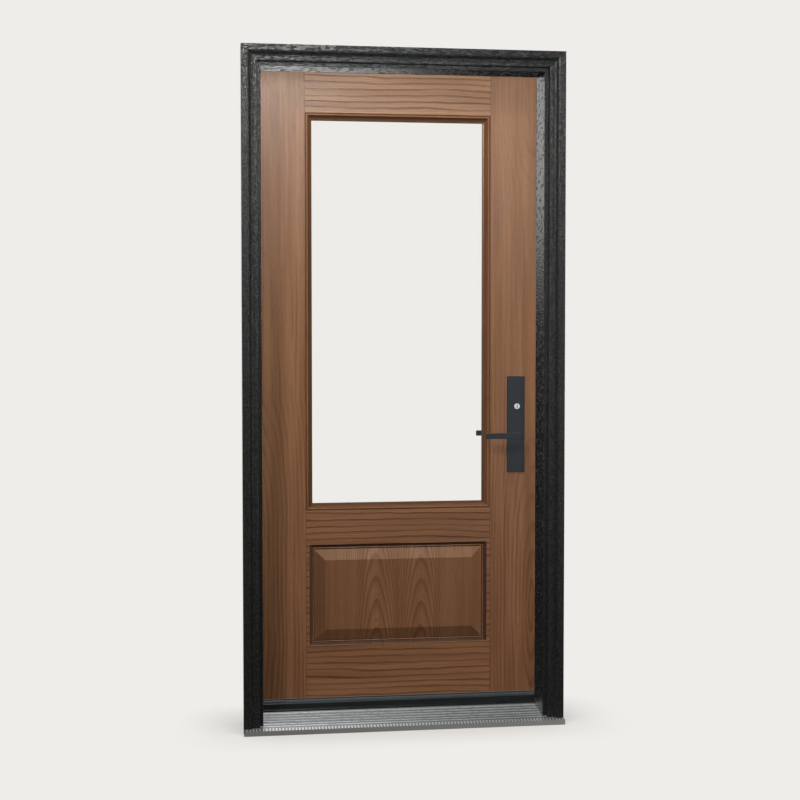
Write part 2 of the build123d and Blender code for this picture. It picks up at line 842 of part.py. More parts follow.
bevel = lock_bevel()
lever_hole = bore(handle_x, lever_height, lock_bore_radius, leaf_front - 1, leaf_back + 1)
cylinder_hole = bore(
    cylinder_x, cylinder_height, cylinder_radius + fit_clearance, leaf_front - 1, leaf_back + 1
)
panel_back, panel_relief = make_panel()
panel_space = panel_back.fuse(panel_relief)
exterior_skin = make_exterior_skin(panel_back, panel_relief)
interior_skin = inside_out(exterior_skin)
core_pieces = make_core((panel_space, inside_out(panel_space)))
hinge_stile, lock_stile, bottom_rail, top_rail, foam_core = core_pieces
faceplate, latch_bolt, deadbolt = make_lock_edge()
pieces["exterior_skin"] = exterior_skin.cut(bevel, lever_hole, cylinder_hole)
pieces["interior_skin"] = interior_skin.cut(bevel, lever_hole, cylinder_hole, *leaf_plate_pockets)
pieces["hinge_stile"] = hinge_stile.cut(*leaf_plate_pockets)
pieces["lock_stile"] = lock_stile.cut(bevel, lever_hole, cylinder_hole, faceplate, latch_bolt, deadbolt)
pieces["bottom_rail"] = bottom_rail
pieces["top_rail"] = top_rail
pieces["foam_core"] = foam_core
pieces["sweep_carrier"], pieces["door_sweep"] = make_sweep()

light_frame, outer_pane, glass_spacer = make_light()
pieces["exterior_light_frame"] = light_frame
pieces["interior_light_frame"] = inside_out(light_frame)
pieces["outer_pane"] = outer_pane
pieces["inner_pane"] = inside_out(outer_pane)
pieces["glass_spacer"] = glass_spacer

handle_plate = make_plate()
lever = make_lever()
pieces["exterior_handle_plate"] = handle_plate
pieces["interior_handle_plate"] = inside_out(handle_plate)
pieces["key_cylinder"] = make_cylinder()
pieces["thumbturn"] = make_thumbturn()
pieces["exterior_lever"] = lever
pieces["interior_lever"] = inside_out(lever)
pieces["lever_spindle"] = make_spindle()
pieces["lock_faceplate"] = faceplate
pieces["latch_bolt"] = latch_bolt
pieces["deadbolt"] = deadbolt

os.makedirs("parts", exist_ok=True)
for name, shape in pieces.items():
    export_step(shape, f"parts/{name}.step")
print(len(pieces), "nodes written")
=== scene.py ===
import json
import math
import random

import bmesh
import bpy
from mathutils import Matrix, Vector

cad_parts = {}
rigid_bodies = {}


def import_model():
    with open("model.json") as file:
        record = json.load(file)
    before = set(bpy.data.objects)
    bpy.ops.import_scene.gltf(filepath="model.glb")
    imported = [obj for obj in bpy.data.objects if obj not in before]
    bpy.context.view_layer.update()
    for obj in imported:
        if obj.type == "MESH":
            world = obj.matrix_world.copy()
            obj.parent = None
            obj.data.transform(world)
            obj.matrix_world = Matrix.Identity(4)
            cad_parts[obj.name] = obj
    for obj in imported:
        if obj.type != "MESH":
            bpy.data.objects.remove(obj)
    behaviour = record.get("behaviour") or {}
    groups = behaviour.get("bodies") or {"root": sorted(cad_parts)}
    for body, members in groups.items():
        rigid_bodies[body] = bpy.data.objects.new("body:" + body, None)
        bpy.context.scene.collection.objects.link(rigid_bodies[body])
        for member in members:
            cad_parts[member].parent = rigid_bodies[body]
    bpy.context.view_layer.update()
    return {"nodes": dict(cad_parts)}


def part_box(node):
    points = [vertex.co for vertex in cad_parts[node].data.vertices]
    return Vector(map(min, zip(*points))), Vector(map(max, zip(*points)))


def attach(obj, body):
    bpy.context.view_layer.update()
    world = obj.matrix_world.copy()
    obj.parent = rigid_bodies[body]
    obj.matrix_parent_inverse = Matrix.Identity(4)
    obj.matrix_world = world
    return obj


# A fibreglass entrance door with a glazed light over a raised panel. Metres, in the
# part's own frame: +X right seen from outside, +Y into the building, +Z up.
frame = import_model()
nodes = frame["nodes"]
random.seed(4)

# Places that the materials, the screws and the floor's shadow follow
skin_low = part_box("exterior_skin")[0]
light_low, light_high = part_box("exterior_light_frame")
deck_low, deck_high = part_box("sill_deck")
SILL_FRONT = deck_low.y
SILL_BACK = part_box("sill_core")[1].y
LEAF_HALF = -skin_low.x
LEAF_FRONT = skin_low.y
LEAF_MIDDLE = (LEAF_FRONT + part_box("interior_skin")[1].y) / 2
LEAF_HALF_THICKNESS = LEAF_MIDDLE - LEAF_FRONT
LEAF_GAP = 0.005
GAP_MIDDLE = -LEAF_HALF - LEAF_GAP / 2
STOP_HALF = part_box("strike_jamb")[0].x
HEAD_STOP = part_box("head_jamb")[0].z
LIGHT_HALF = light_high.x
LIGHT_MIDDLE = (light_low.z + light_high.z) / 2
LIGHT_HALF_HEIGHT = (light_high.z - light_low.z) / 2
PANEL_MARGIN = 0.011
PANEL_HEIGHT = 0.322
BOTTOM_RAIL_FACE = 0.166
PANEL_HALF = LIGHT_HALF - PANEL_MARGIN
PANEL_MIDDLE = skin_low.z + BOTTOM_RAIL_FACE + PANEL_HEIGHT / 2
PANEL_STICKING = 0.016
PANEL_COVE = 0.0092
FIRST_RIB = 0.012
RIB_PITCH = 0.0216
APRON_BACK = -0.026
SILL_HALF = deck_high.x
SILL_MIDDLE = (SILL_FRONT + SILL_BACK) / 2
SILL_HALF_DEPTH = (SILL_BACK - SILL_FRONT) / 2


# Sockets of a Mix node: its share, and then its two numbers or its two colours
MIX_NUMBERS = (0, 2, 3)
MIX_COLOURS = (0, 6, 7)


class Tree:
    """A node tree, built up by short calls. Values may be numbers or sockets."""

    def __init__(self, owner, output, coordinates="Object"):
        owner.use_nodes = True
        self.nodes = owner.node_tree.nodes
        self.links = owner.node_tree.links
        self.nodes.clear()
        self.output = self.nodes.new(output)
        place = self.nodes.new("ShaderNodeTexCoord")
        self.x, self.y, self.z = self.parts(place.outputs[coordinates])
        self.normal = place.outputs["Normal"]

    def put(self, socket, value):
        if isinstance(value, bpy.types.NodeSocket):
            self.links.new(value, socket)
        else:
            socket.default_value = value

    def fill(self, node, *values):
        """Puts values in a node's first sockets and gives its output."""
        for socket, value in zip(node.inputs, values):
            self.put(socket, value)
        return node.outputs[0]

    def math(self, operation, first, second=0.0):
        node = self.nodes.new("ShaderNodeMath")
        node.operation = operation
        return self.fill(node, first, second)

    def add(self, first, second):
        return self.math("ADD", first, second)

    def less(self, first, second):
        return self.math("SUBTRACT", first, second)

    def times(self, first, second):
        return self.math("MULTIPLY", first, second)

    def under(self, value, limit):
        """1 where a value is under a limit, 0 elsewhere."""
        return self.math("LESS_THAN", value, limit)

    def off(self, value, middle):
        """How far a value lies from a middle, to either side."""
        return self.math("ABSOLUTE", self.less(value, middle))

    def diagonal(self, first, second):
        """How far off a place is that lies so far along two axes."""
        return self.math("SQRT", self.add(self.times(first, first), self.times(second, second)))

    def span(self, value, low, high, to_low=0.0, to_high=1.0, smooth=False):
        """Maps a value from low..high to to_low..to_high and holds it there."""
        node = self.nodes.new("ShaderNodeMapRange")
        if smooth:
            node.interpolation_type = "SMOOTHSTEP"
        return self.fill(node, value, low, high, to_low, to_high)

    def parts(self, vector):
        """A vector's numbers along x, y and z."""
        node = self.nodes.new("ShaderNodeSeparateXYZ")
        self.put(node.inputs[0], vector)
        return node.outputs

    def vector(self, x, y, z):
        return self.fill(self.nodes.new("ShaderNodeCombineXYZ"), x, y, z)

    def scaled(self, x, y, z):
        """The place, stretched by a factor along each axis."""
        return self.vector(self.times(self.x, x), self.times(self.y, y), self.times(self.z, z))

    def noise(self, vector, detail, roughness):
        node = self.nodes.new("ShaderNodeTexNoise")
        settings = (("Vector", vector), ("Scale", 1.0), ("Detail", detail), ("Roughness", roughness))
        for name, value in settings:
            self.put(node.inputs[name], value)
        return node.outputs[0]

    def even_noise(self, fineness, detail=3, roughness=0.6):
        """Noise of the same fineness along each axis."""
        return self.noise(self.scaled(fineness, fineness, fineness), detail, roughness)

    def blend(self, share, first, second):
        """A number between first and second."""
        node = self.nodes.new("ShaderNodeMix")
        for index, value in zip(MIX_NUMBERS, (share, first, second)):
            self.put(node.inputs[index], value)
        return node.outputs[0]

    def tint(self, share, first, second, mode="MIX"):
        """A colour between first and second."""
        node = self.nodes.new("ShaderNodeMix")
        node.data_type = "RGBA"
        node.blend_type = mode
        for index, value in zip(MIX_COLOURS, (share, first, second)):
            self.put(node.inputs[index], value)
        return node.outputs[2]

    def shader(self, kind, **values):
        """A shader node with its inputs set by name."""
        node = self.nodes.new("ShaderNode" + kind)
        for name, value in values.items():
            self.put(node.inputs[name], value)
        return node.outputs[0]

    def mixed(self, share, first, second):
        """A shader between first and second."""
        return self.fill(self.nodes.new("ShaderNodeMixShader"), share, first, second)

    def show(self, shader):
        self.put(self.output.inputs["Surface"], shader)


class Shade(Tree):
    """The node tree of a new material with one solid surface."""

    def __init__(self, name, metal=0.0):
        self.material = bpy.data.materials.new(name)
        super().__init__(self.material, "ShaderNodeOutputMaterial")
        self.surface = self.nodes.new("ShaderNodeBsdfPrincipled")
        self.surface.inputs["Metallic"].default_value = metal
        self.show(self.surface.outputs[0])

    def colour(self, value):
        self.put(self.surface.inputs["Base Color"], value)

    def rough(self, value):
        self.put(self.surface.inputs["Roughness"], value)

    def bump(self, height, strength, distance):
        node = self.nodes.new("ShaderNodeBump")
        self.put(node.inputs["Height"], height)
        node.inputs["Strength"].default_value = strength
        node.inputs["Distance"].default_value = distance
        self.put(self.surface.inputs["Normal"], node.outputs[0])


def toned(colour, level):
    """A colour made lighter or darker, with an alpha of 1."""
    return (*(part * level for part in colour[:3]), 1)


# Stained woodgrain. Streaks are given as (how many a metre across the grain, length)
STAIN_LIGHT = (0.385, 0.164, 0.071, 1)
STAIN_MIDDLE = (0.285, 0.115, 0.047, 1)
STAIN_DARK = (0.105, 0.034, 0.012, 1)
# The colour of the painted shade in the hollows of the leaf and the moulding
PAINTED_RECESS_SHADE = (0.055, 0.019, 0.007, 1)
SLOW_STREAKS = (34, 0.55)
FINE_STREAKS = (330, 0.30)
PORES = (560, 0.022)
WANDER = (11, 0.42)
RIPPLE = (26, 0.07)
PATCHES = (38, 0.35)
MOULDING_STREAKS = (20, 0.5)

# Where the log's middle runs, the eyes that its arches close round, and growth rings a metre.
# A ramp is (from, to, value there, value at the end), and goes from 0 to 1 where it has no values
LEFT_PITH = -LEAF_HALF - 0.0127
RIGHT_PITH = LEAF_HALF - 0.0153
DEPTH_BELOW_LEFT_EYE = (0.02, 0.36, 0.040, 0.0)
DEPTH_ABOVE_LEFT_EYE = (0.60, 1.02, 0.0, 0.085)
RIGHT_LOWER_EYE = 0.35
RIGHT_UPPER_EYE = 2.25
RIGHT_EYE_SLOPE = 0.13
RIGHT_DEPTH = 0.075
LEFT_STILE_RINGS = 74.0
RIGHT_STILE_RINGS = 84.0
RAIL_RINGS = 50.0
PANEL_RINGS = 13.5
PANEL_ARCH_SIDE = 0.0728
PANEL_ARCH_CURVE = 82.0
MOULDING_RINGS = 160.0

# How wide and how strong the ring lines are
FAINT_LINE_START = 0.62
RAIL_LINE_START = 0.55
PANEL_LINE_START = 0.40
STILE_LINE_START = (0.5, 1.5, 0.35, 0.55)
RAIL_STRENGTH = 1.40
STILE_STRENGTH = (0.5, 1.5, 0.80, 0.40)
PANEL_STRENGTH = (0.006, 0.040, 0.52, 0.60)

# Painted light and shade by a face's tilt, painted sheen up the top rail, painted shade in the hollows,
# darker towards the feet, and dark lines along the joints
BEVEL_PAINTED_LIGHT = (0.55, 1.35, 0.535, 1.36)
RAIL_PAINTED_LIGHT = (0.0, 1.0, 1.04, 1.25)
TOP_RAIL_RISE = (1.2, 1.95)
GROOVE_DEPTH = (0.0082, 0.0100)
COVE_DEPTH = (0.0016, 0.0028)
MOULDING_HOLLOW = (0.0012, 0.0027)
FOOT_SHARE = (0.06, 0.30, 0.24, 0.0)
JOINT_LINE = (0.0006, 0.0018, 1.0, 0.0)
WOOD_ROUGHNESS = 0.42
RECESS_ROUGHNESS = 0.85


def late_lines(shade, phase, start=FAINT_LINE_START):
    """Growth rings from a phase that goes up by one a ring: pale wood that ends in a thin dark line."""
    step = shade.math("FRACT", phase)
    rise = shade.span(step, start, 0.93, smooth=True)
    fall = shade.span(step, 0.94, 1.0, 1.0, 0.0, smooth=True)
    return shade.times(rise, fall)


def fibres(shade, grain, fineness, length):
    """Streaks in a grain, which is (place across it, place along it, seed)."""
    across, along, seed = grain
    place = shade.vector(shade.times(across, fineness), shade.times(along, 1 / length), seed)
    return shade.noise(place, 2, 0.5)


def below_face(shade):
    """How far below the leaf's nearer face a place lies."""
    return shade.less(LEAF_HALF_THICKNESS, shade.off(shade.y, LEAF_MIDDLE))


def stain(shade, lines, grain):
    """The wood's colour from its ring lines, fibres and pores, and its relief."""
    slow = fibres(shade, grain, *SLOW_STREAKS)
    fine = fibres(shade, grain, *FINE_STREAKS)
    pores = shade.span(fibres(shade, grain, *PORES), 0.57, 0.70)
    tone = shade.add(shade.times(slow, 0.6), shade.times(fine, 0.4))
    colour = shade.tint(shade.span(tone, 0.38, 0.62), STAIN_MIDDLE, STAIN_LIGHT)
    colour = shade.tint(shade.times(lines, 0.66), colour, STAIN_DARK)
    colour = shade.tint(shade.times(pores, 0.26), colour, STAIN_DARK)
    relief = shade.less(1.0, shade.add(shade.times(lines, 0.9), shade.times(pores, 0.4)))
    shade.bump(shade.add(relief, shade.times(fine, 0.2)), 0.55, 0.0009)
    return colour


class LeafShade(Shade):
    """The leaf's face. Its zones (stile, left stile, panel, upright grain) are 1 inside and 0 outside."""

    def __init__(self, name):
        super().__init__(name)
        self.side = self.math("ABSOLUTE", self.x)
        self.rise = self.off(self.z, PANEL_MIDDLE)
        self.stile = self.math("GREATER_THAN", self.side, LIGHT_HALF)
        self.left_stile = self.times(self.stile, self.under(self.x, 0.0))
        self.panel = self.times(self.under(self.side, PANEL_HALF), self.under(self.rise, PANEL_HEIGHT / 2))
        self.upright = self.math("MAXIMUM", self.stile, self.panel)
        across = self.blend(self.upright, self.z, self.x)
        along = self.blend(self.upright, self.x, self.z)
        seed = self.add(self.times(self.upright, 7.3), self.times(self.left_stile, 3.1))
        self.grain = (across, along, seed)
        self.from_arch = self.off(self.side, PANEL_ARCH_SIDE)

    def stile_phase(self, wander, ripple):
        """Upright lines that close in long arches, where the log's middle comes near the face."""
        bends = self.add(self.times(wander, 0.034), self.times(ripple, 0.004))
        pith = self.blend(self.left_stile, RIGHT_PITH, LEFT_PITH)
        sideways = self.add(self.less(self.x, pith), bends)
        above_eye = self.span(self.z, *DEPTH_ABOVE_LEFT_EYE)
        left_depth = self.add(above_eye, self.span(self.z, *DEPTH_BELOW_LEFT_EYE))
        low_depth = self.times(self.off(self.z, RIGHT_LOWER_EYE), RIGHT_EYE_SLOPE)
        high_depth = self.times(self.off(self.z, RIGHT_UPPER_EYE), RIGHT_EYE_SLOPE)
        right_depth = self.math("MINIMUM", self.math("MINIMUM", low_depth, high_depth), RIGHT_DEPTH)
        from_pith = self.diagonal(sideways, self.blend(self.left_stile, right_depth, left_depth))
        return self.times(from_pith, self.blend(self.left_stile, RIGHT_STILE_RINGS, LEFT_STILE_RINGS))

    def rail_phase(self, wander, ripple):
        """Slightly wavy lines, near to level."""
        waves = self.add(self.times(wander, 0.030), self.times(ripple, 0.007))
        waves = self.add(waves, self.times(self.x, 0.010))
        return self.times(self.add(self.z, waves), RAIL_RINGS)

    def panel_phase(self, wander):
        """Two stacks of rounded arches that run out into straight lines."""
        reach = self.times(self.math("POWER", self.from_arch, 2.0), PANEL_ARCH_CURVE)
        phase = self.times(self.add(self.z, reach), PANEL_RINGS)
        return self.add(phase, self.times(wander, 1.3))

    def line_strength(self):
        """Patchy on the rails, weaker in the panel's arches and up the stiles."""
        across, along, seed = self.grain
        patches = fibres(self, (across, along, self.add(seed, 5.0)), *PATCHES)
        base = self.blend(self.upright, 0.55, 0.15)
        strength = self.blend(self.span(patches, 0.36, 0.62), base, 1.0)
        strength = self.blend(self.panel, strength, self.span(self.from_arch, *PANEL_STRENGTH))
        stile_strength = self.span(self.z, *STILE_STRENGTH)
        return self.times(strength, self.blend(self.stile, RAIL_STRENGTH, stile_strength))

    def ring_lines(self):
        """Dark ring lines, with three faint ones to each."""
        wander = self.less(fibres(self, self.grain, *WANDER), 0.5)
        ripple = self.less(fibres(self, self.grain, *RIPPLE), 0.5)
        phase = self.blend(self.stile, self.rail_phase(wander, ripple), self.stile_phase(wander, ripple))
        phase = self.blend(self.panel, phase, self.panel_phase(wander))
        start = self.blend(self.panel, RAIL_LINE_START, PANEL_LINE_START)
        start = self.blend(self.stile, start, self.span(self.z, *STILE_LINE_START))
        lines = late_lines(self, phase, start)
        faint = late_lines(self, self.add(self.times(phase, 3.2), 0.3))
        faint = self.times(faint, self.blend(self.panel, 0.32, 0.42))
        return self.times(self.math("MAXIMUM", lines, faint), self.line_strength())

    def paint_light_by_tilt(self, colour):
        """Painted light and shade: darker on the bevels that face down or to the left, paler on the others,
        with a greyer painted sheen on those that face up or right and on the top rail.
        """
        facing_x, _, facing_z = self.parts(self.normal)
        tilt = self.add(self.times(facing_x, 0.80), self.times(facing_z, 1.12))
        bevel_painted_light = self.span(self.add(tilt, 1.0), *BEVEL_PAINTED_LIGHT)
        height = self.span(self.z, *TOP_RAIL_RISE)
        top_rail = self.less(height, self.times(height, self.upright))
        level = self.blend(self.panel, self.span(top_rail, *RAIL_PAINTED_LIGHT), bevel_painted_light)
        # Painted sheen: a greyer tint on the bevels that face up or to the right, and on the top rail
        pale = self.times(self.panel, self.span(tilt, 0.10, 0.35))
        pale = self.add(pale, self.times(top_rail, 0.70))
        shares = [self.times(level, self.add(self.times(pale, more), 1.0)) for more in (0.0, 0.14, 0.30)]
        grey = self.fill(self.nodes.new("ShaderNodeCombineColor"), *shares)
        return self.tint(1.0, colour, grey, "MULTIPLY")

    def paint_hollow_shade(self, colour):
        """Painted shade in the groove and the cove round the panel, which are also rougher there."""
        side_edge = self.less(PANEL_HALF, self.side)
        edge = self.math("MINIMUM", side_edge, self.less(PANEL_HEIGHT / 2, self.rise))
        sticking = self.times(self.panel, self.under(edge, PANEL_STICKING))
        groove = self.times(sticking, self.span(below_face(self), *GROOVE_DEPTH))
        cove = self.times(self.under(edge, PANEL_COVE), self.span(below_face(self), *COVE_DEPTH))
        cove = self.times(cove, self.panel)
        colour = self.tint(self.times(groove, 0.90), colour, PAINTED_RECESS_SHADE)
        colour = self.tint(self.times(cove, 0.80), colour, PAINTED_RECESS_SHADE)
        self.rough(self.blend(self.math("MAXIMUM", groove, cove), WOOD_ROUGHNESS, RECESS_ROUGHNESS))
        return colour

    def darken_feet(self, colour):
        """Darker towards the feet of the stiles."""
        foot = self.times(self.span(self.z, *FOOT_SHARE), self.stile)
        return self.tint(foot, colour, STAIN_DARK)

    def joint_lines(self, colour):
        """The fine dark lines between stiles and rails."""
        line = self.span(self.off(self.side, LIGHT_HALF), *JOINT_LINE, smooth=True)
        return self.tint(self.times(line, 0.45), colour, STAIN_DARK)


def leaf_material(name):
    """The leaf's face: upright grain on the stiles and the panel, level grain on the rails."""
    shade = LeafShade(name)
    colour = stain(shade, shade.ring_lines(), shade.grain)
    # Painted light and shade by tilt, painted sheen on the top rail, and painted shade in the hollows
    colour = shade.paint_hollow_shade(shade.paint_light_by_tilt(colour))
    shade.colour(shade.joint_lines(shade.darken_feet(colour)))
    return shade.material


def moulding_material(name):
    """The glazing moulding: grain along each side, mitred at the corners, and painted shade in its hollows.
    """
    shade = Shade(name)
    shade.surface.inputs["Specular IOR Level"].default_value = 0.30
    side = shade.less(LIGHT_HALF, shade.math("ABSOLUTE", shade.x))
    end = shade.less(LIGHT_HALF_HEIGHT, shade.off(shade.z, LIGHT_MIDDLE))
    upright = shade.under(side, end)
    across = shade.add(shade.blend(upright, shade.z, shade.x), shade.times(shade.y, 1.3))
    grain = (across, shade.blend(upright, shade.x, shade.z), upright)
    slow = fibres(shade, grain, *MOULDING_STREAKS)
    lines = late_lines(shade, shade.add(shade.times(across, MOULDING_RINGS), shade.times(slow, 4)))
    colour = stain(shade, shade.times(lines, 0.4), grain)
    # Painted shade in the hollows, deepest on faces turned down or to the right, lightest on faces turned
    # up
    hollow = shade.span(below_face(shade), *MOULDING_HOLLOW)
    facing_x, _, facing_z = shade.parts(shade.normal)
    tilt = shade.less(facing_z, shade.times(facing_x, 0.35))
    share = shade.span(shade.add(tilt, 1.0), 0.4, 1.5, 0.92, 0.40)
    shade.colour(shade.tint(shade.times(hollow, share), colour, PAINTED_RECESS_SHADE))
    shade.rough(shade.blend(hollow, WOOD_ROUGHNESS, RECESS_ROUGHNESS))
    return shade.material


# Embossed grain in cells a metre, off the reveal and on it, where it is larger and smoother
REVEAL_MARGIN = 0.0008
LEVEL_LENGTH = (70.0, 48.0)
LEVEL_DEPTH = (240.0, 46.0)
LEVEL_HEIGHT = 255.0
LEVEL_EDGE = (0.435, 0.43)
UPRIGHT_WIDTH = 215.0
UPRIGHT_DEPTH = (215.0, 48.0)
UPRIGHT_LENGTH = (200.0, 70.0)
UPRIGHT_EDGE = (0.465, 0.40)
PAINT_DARK = (0.002, 0.002, 0.002, 1)
PAINT_WORN = (0.027, 0.027, 0.027, 1)
# The painted shadow where the reveal meets the leaf: its colour, its reach in depth and its roughness
PAINTED_CONTACT_SHADOW = (0.001, 0.001, 0.001, 1)
CONTACT_SHADOW_REACH = (LEAF_FRONT - 0.020, LEAF_FRONT - 0.008)
CONTACT_ROUGHNESS = 0.85
WORN_HEIGHT = (0.35, 1.40)
COARSE_ROUGHNESS = (0.1, 1.35, 0.66, 0.285)
REVEAL_ROUGHNESS = (0.1, 1.35, 0.44, 0.15)


def emboss(shade, along):
    """(Where the reveal is, the grain's height) for a board that runs along an axis."""
    if along == "x":
        reveal = shade.under(shade.z, HEAD_STOP + REVEAL_MARGIN)
        length = shade.blend(reveal, *LEVEL_LENGTH)
        place = shade.scaled(length, shade.blend(reveal, *LEVEL_DEPTH), LEVEL_HEIGHT)
        edge = shade.blend(reveal, *LEVEL_EDGE)
        grit = shade.noise(shade.scaled(130, 90, 280), 1, 0.5)
    else:
        reveal = shade.under(shade.off(shade.x, STOP_HALF), REVEAL_MARGIN)
        length = shade.blend(reveal, *UPRIGHT_LENGTH)
        place = shade.scaled(UPRIGHT_WIDTH, shade.blend(reveal, *UPRIGHT_DEPTH), length)
        edge = shade.blend(reveal, *UPRIGHT_EDGE)
        grit = shade.noise(shade.scaled(280, 90, 280), 1, 0.5)
    groove = shade.span(shade.less(shade.noise(place, 1, 0.5), edge), 0.0, 0.05, smooth=True)
    return reveal, shade.add(groove, shade.times(shade.span(grit, 0.38, 0.62), 0.45))


def paint_material(name, along):
    """Black paint over embossed woodgrain that runs along an axis, and a painted shadow line on the reveal
    beside the leaf.
    """
    shade = Shade(name)
    shade.surface.inputs["Specular Tint"].default_value = (1.0, 0.91, 0.86, 1)
    reveal, height = emboss(shade, along)
    # A painted shadow on the reveal next to the leaf, near black and rough
    contact_shadow = shade.times(reveal, shade.span(shade.y, *CONTACT_SHADOW_REACH))
    colour = shade.tint(shade.span(height, *WORN_HEIGHT), PAINT_DARK, PAINT_WORN)
    shade.colour(shade.tint(contact_shadow, colour, PAINTED_CONTACT_SHADOW))
    coarse = shade.span(height, *COARSE_ROUGHNESS)
    smooth = shade.span(height, *REVEAL_ROUGHNESS)
    shade.rough(shade.blend(contact_shadow, shade.blend(reveal, coarse, smooth), CONTACT_ROUGHNESS))
    shade.bump(shade.times(height, shade.blend(reveal, 1.0, 0.4)), 0.8, 0.0011)
    return shade.material


# Mill-finish aluminium, worn bright on the apron's knurl, with painted highlights along the ribs and
# painted light on the nose: a warm grey, lighter towards the right
METAL_DULL = (0.17, 0.173, 0.178, 1)
METAL_BRIGHT = (0.23, 0.234, 0.24, 1)
METAL_WORN_AND_HIGHLIGHT = (0.90, 0.92, 0.94, 1)
NOSE_PAINTED_LIGHT = (0.365, 0.335, 0.31, 1)
KNURL_LINES = 620.0
KNURL_SLANT = -20.0


def ribbed_metal_material(name):
    """Worn mill-finish aluminium: a slanting knurl on the apron, painted highlights in broken lines along
    the ribs, and painted light on the nose.
    """
    shade = Shade(name)
    slant = shade.add(shade.times(shade.x, KNURL_LINES), shade.times(shade.y, KNURL_SLANT))
    slant = shade.span(shade.math("SINE", slant), -0.7, 0.7)
    turn = shade.math("FRACT", shade.times(shade.less(shade.y, FIRST_RIB - RIB_PITCH / 2), 1 / RIB_PITCH))
    rib = shade.span(shade.off(turn, 0.5), 0.12, 0.26, 1.0, 0.0)
    # Painted highlights: broken bright dashes along the rib crests
    highlight_dashes = shade.span(shade.noise(shade.scaled(70, 90, 30), 2, 0.6), 0.36, 0.50, 0.45, 1.0)
    apron = shade.span(shade.y, APRON_BACK - 0.004, APRON_BACK, 1.0, 0.0)
    knurl_and_highlights = shade.blend(apron, shade.times(highlight_dashes, rib), slant)
    wear = shade.noise(shade.scaled(30, 90, 30), 4, 0.6)
    streak = shade.noise(shade.scaled(6, 400, 6), 3, 0.6)
    face = shade.tint(shade.span(wear, 0.3, 0.7), METAL_DULL, METAL_BRIGHT)
    face = shade.tint(shade.times(knurl_and_highlights, 0.85), face, METAL_WORN_AND_HIGHLIGHT)
    nose = shade.span(shade.parts(shade.normal)[1], -0.95, -0.80, 1.0, 0.0)
    # Painted light on the nose's front face: warm grey, lighter towards the right
    nose_painted_light = shade.tint(shade.span(shade.x, -0.3, 0.5), NOSE_PAINTED_LIGHT, toned(NOSE_PAINTED_LIGHT, 1.26))
    shade.colour(shade.tint(nose, face, nose_painted_light))
    shade.put(shade.surface.inputs["Metallic"], shade.span(nose, 0.0, 1.0, 0.5, 0.0))
    shade.rough(shade.span(shade.add(wear, streak), 0.6, 1.4, 0.26, 0.42))
    shade.bump(shade.add(shade.times(knurl_and_highlights, 0.5), shade.times(streak, 0.3)), 0.5, 0.0004)
    return shade.material


def plain_material(name, colour, rough, grain, depth, strength=0.3):
    """A plain finish with fine texture, slow tone changes and uneven roughness."""
    shade = Shade(name)
    fine = shade.even_noise(grain)
    slow = shade.even_noise(14, roughness=0.5)
    share = shade.span(shade.add(shade.times(fine, 0.4), shade.times(slow, 0.6)), 0.35, 0.65)
    shade.colour(shade.tint(share, toned(colour, 0.88), toned(colour, 1.12)))
    shade.rough(shade.span(slow, 0.3, 0.7, rough - 0.05, rough + 0.06))
    shade.bump(fine, strength, depth)
    return shade.material


def carrier_material(name):
    """The sweep's carrier: a pale lip along its top edge, dark below."""
    shade = Shade(name)
    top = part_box("sweep_carrier")[1].z
    lip = shade.span(shade.z, top - 0.0022, top - 0.0014)
    fine = shade.even_noise(900)
    pale = shade.tint(fine, (0.30, 0.225, 0.19, 1), (0.36, 0.28, 0.24, 1))
    shade.colour(shade.tint(lip, (0.022, 0.019, 0.018, 1), pale))
    shade.rough(shade.span(fine, 0.3, 0.7, 0.55, 0.70))
    shade.bump(fine, 0.3, 0.0002)
    return shade.material


KEY_SLOT_HALF = 0.0016
KEY_SLOT_START = 0.0012


def cylinder_material(name):
    """Satin nickel, with painted shade inside the key slot."""
    shade = Shade(name)
    low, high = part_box("key_cylinder")
    fine = shade.even_noise(900)
    face = shade.tint(shade.span(fine, 0.3, 0.7), (0.88, 0.88, 0.87, 1), (0.97, 0.97, 0.96, 1))
    # Painted shade deep inside the key slot
    inside = shade.under(shade.off(shade.x, (low.x + high.x) / 2), KEY_SLOT_HALF)
    deep = shade.math("GREATER_THAN", shade.y, low.y + KEY_SLOT_START)
    shade.colour(shade.tint(shade.times(inside, deep), face, (0.012, 0.011, 0.010, 1)))
    shade.rough(shade.span(fine, 0.3, 0.7, 0.28, 0.38))
    shade.bump(fine, 0.2, 0.00005)
    return shade.material


def brushed_material(name, colour, rough):
    """Brushed metal with fine level lines and a few faint rubs."""
    shade = Shade(name, metal=1.0)
    lines = shade.noise(shade.scaled(60, 60, 2600), 2, 0.6)
    rubs = shade.even_noise(45, detail=4)
    shade.colour(shade.tint(shade.span(rubs, 0.3, 0.7), toned(colour, 0.85), toned(colour, 1.05)))
    shade.rough(shade.span(shade.add(lines, rubs), 0.7, 1.3, rough - 0.06, rough + 0.08))
    shade.bump(lines, 0.2, 0.0001)
    return shade.material


def timber_material(name):
    """Bare softwood inside the leaf."""
    shade = Shade(name)
    slow = shade.noise(shade.scaled(30, 30, 1.5), 2, 0.5)
    step = shade.math("FRACT", shade.add(shade.times(shade.x, 140), shade.times(slow, 5)))
    ring = shade.span(step, 0.5, 1.0, smooth=True)
    fibre = shade.noise(shade.scaled(700, 700, 14), 2, 0.6)
    shade.colour(shade.tint(ring, (0.58, 0.40, 0.22, 1), (0.40, 0.24, 0.11, 1)))
    shade.rough(shade.span(fibre, 0.3, 0.7, 0.6, 0.8))
    shade.bump(fibre, 0.4, 0.0004)
    return shade.material


